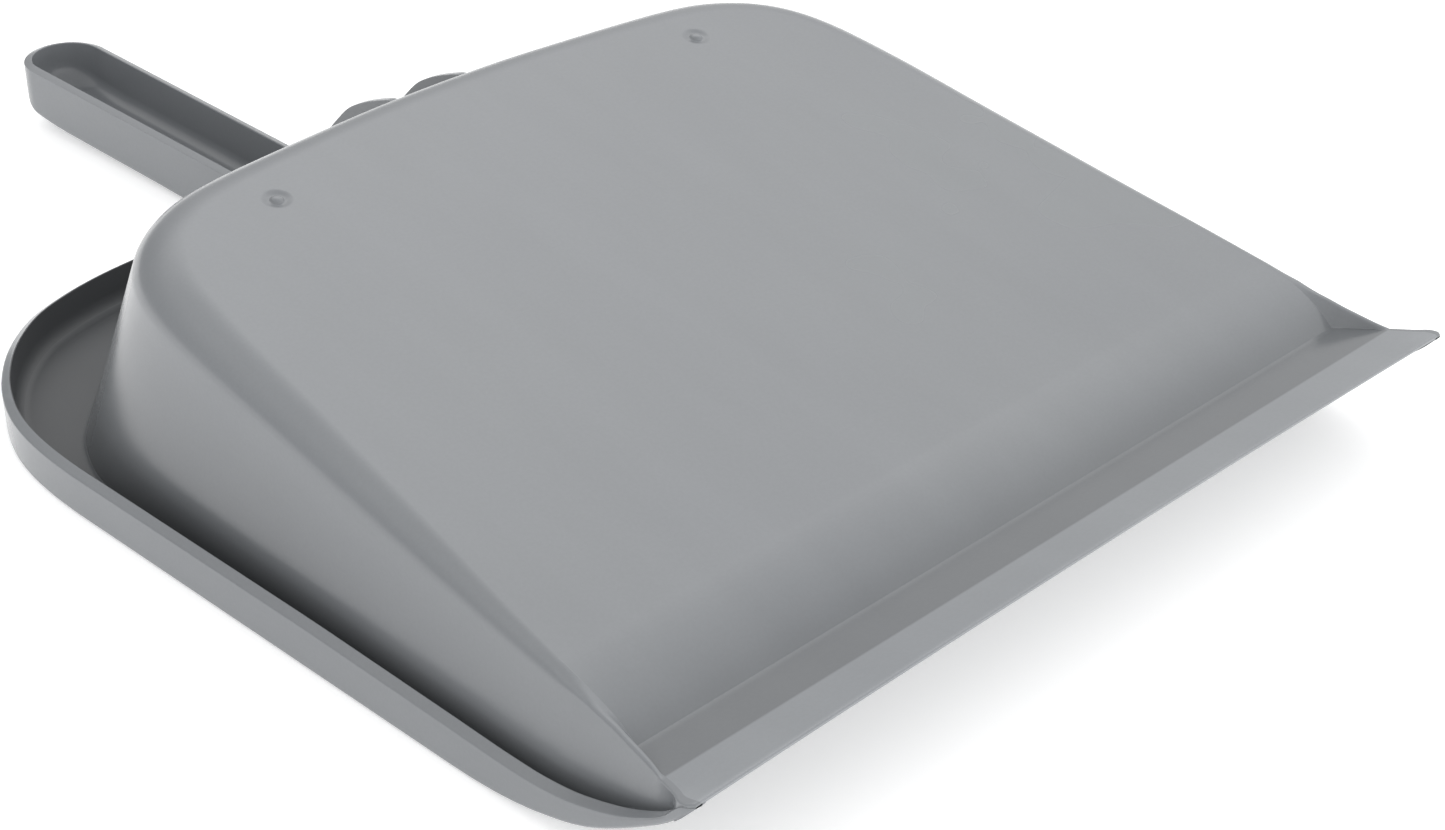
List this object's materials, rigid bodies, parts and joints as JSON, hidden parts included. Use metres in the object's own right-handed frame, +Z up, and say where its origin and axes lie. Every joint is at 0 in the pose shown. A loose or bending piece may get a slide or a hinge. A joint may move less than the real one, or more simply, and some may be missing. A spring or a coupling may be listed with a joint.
{
  "type": "dustpan",
  "caption": "Wide moulded dustpan lying face down: tilted floor, flat lip, rolled rim with a gutter and a channel-section handle.",
  "frame": {"origin": "middle of the overall box, on the plane that the rim rests on when the pan lies face down", "axes": "+Z up from the resting rim to the pan floor, +Y from the lip to the end of the handle, +X across the pan, x = 0 is its plane of symmetry"},
  "size_m": [0.32, 0.5151, 0.0849],
  "materials": {
    "grey_plastic": "semi-gloss injection-moulded polypropylene, cool mid grey"
  },
  "bodies": {
    "root": {"pan_tub": "grey_plastic", "front_lip": "grey_plastic", "cheek_left": "grey_plastic", "cheek_right": "grey_plastic", "rolled_rim": "grey_plastic", "handle": "grey_plastic", "spine_rib_left": "grey_plastic", "spine_rib_right": "grey_plastic", "floor_stud_left": "grey_plastic", "floor_stud_right": "grey_plastic"}
  },
  "joints": []
}
